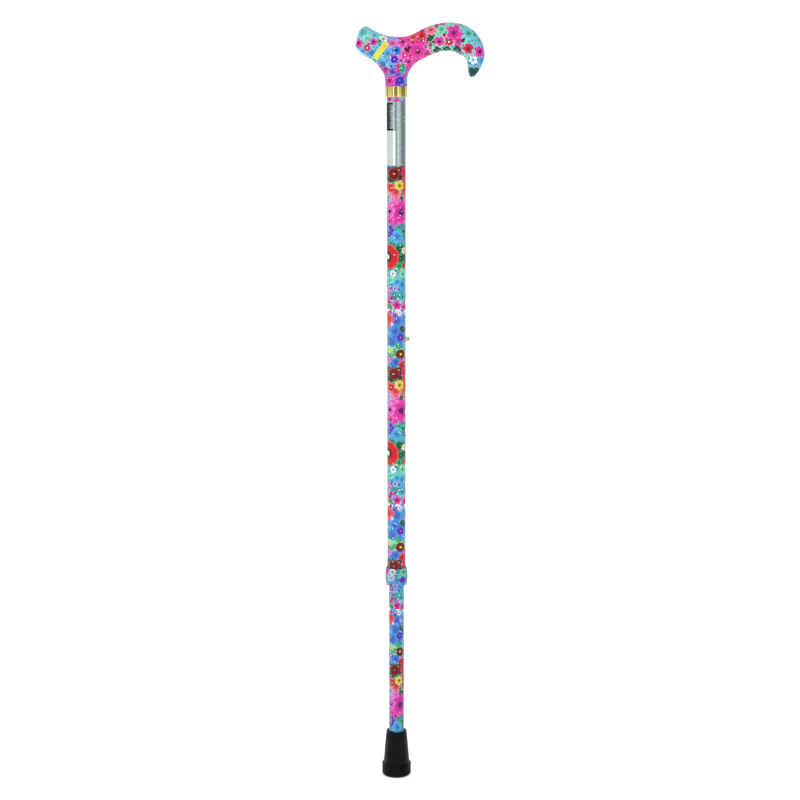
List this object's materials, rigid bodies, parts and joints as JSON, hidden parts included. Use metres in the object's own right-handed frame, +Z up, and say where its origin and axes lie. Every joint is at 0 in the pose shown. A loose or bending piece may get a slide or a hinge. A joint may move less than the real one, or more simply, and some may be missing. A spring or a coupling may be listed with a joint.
{
  "type": "single point cane",
  "caption": "Height-adjustable walking cane with a floral-printed derby handle and telescopic tubes, gold ring, spring button, screwed lock collar and ribbed rubber ferrule.",
  "frame": {"origin": "the ferrule's contact with the floor, on the shaft's axis", "axes": "+Z up the shaft, +X towards the nose of the handle, +Y across the handle"},
  "size_m": [0.1293, 0.0308, 0.7885],
  "materials": {
    "printed_grip": "glossy lacquered floral print",
    "printed_tube": "glossy lacquered floral print",
    "printed_collar": "glossy lacquered floral print",
    "gold_ring": "polished",
    "silver_foil": "satin foil",
    "label_paper": "glossy coated",
    "brass_button": "polished",
    "black_nylon": "satin moulded",
    "pale_nylon": "satin moulded",
    "zinc_steel": "bright zinc",
    "spring_steel": "blued",
    "black_rubber": "semi-gloss moulded"
  },
  "bodies": {
    "upper": {"handle": "printed_grip", "handle_collar": "gold_ring", "handle_spigot": "pale_nylon", "spigot_screw": "zinc_steel", "screw_washer": "zinc_steel", "upper_shaft": "printed_tube", "shaft_label": "silver_foil", "label_panel": "label_paper", "threaded_bush": "black_nylon"},
    "lower": {"lower_shaft": "printed_tube", "glide_cap": "black_nylon", "button_spring": "spring_steel", "ferrule": "black_rubber", "ferrule_washer": "zinc_steel"},
    "button": {"button_pin": "brass_button"},
    "squeeze": {"compression_ring": "pale_nylon"},
    "collar": {"lock_collar": "printed_collar"}
  },
  "joints": [
    {"name": "height_slide", "type": "slide", "parent": "lower", "child": "upper", "axis": [0, 0, 1], "range_m": [-0.0762, 0.1524]},
    {"name": "button_press", "type": "slide", "parent": "lower", "child": "button", "axis": [-1, 0, 0], "range_m": [0, 0.0052], "stiffness_N_per_m": 1200, "springref_m": -0.002, "deforming": ["button_spring"]},
    {"name": "ring_travel", "type": "slide", "parent": "upper", "child": "squeeze", "axis": [0, 0, 1], "range_m": [-0.0015, 0]},
    {"name": "collar_turn", "type": "hinge", "parent": "squeeze", "child": "collar", "pos_m": [0, 0, 0.2195], "axis": [0, 0, 1], "range_deg": [-360, 0]}
  ],
  "couplings": [
    {"joint": "ring_travel", "follows": "collar_turn", "m_per_rad": 0.00023873}
  ]
}
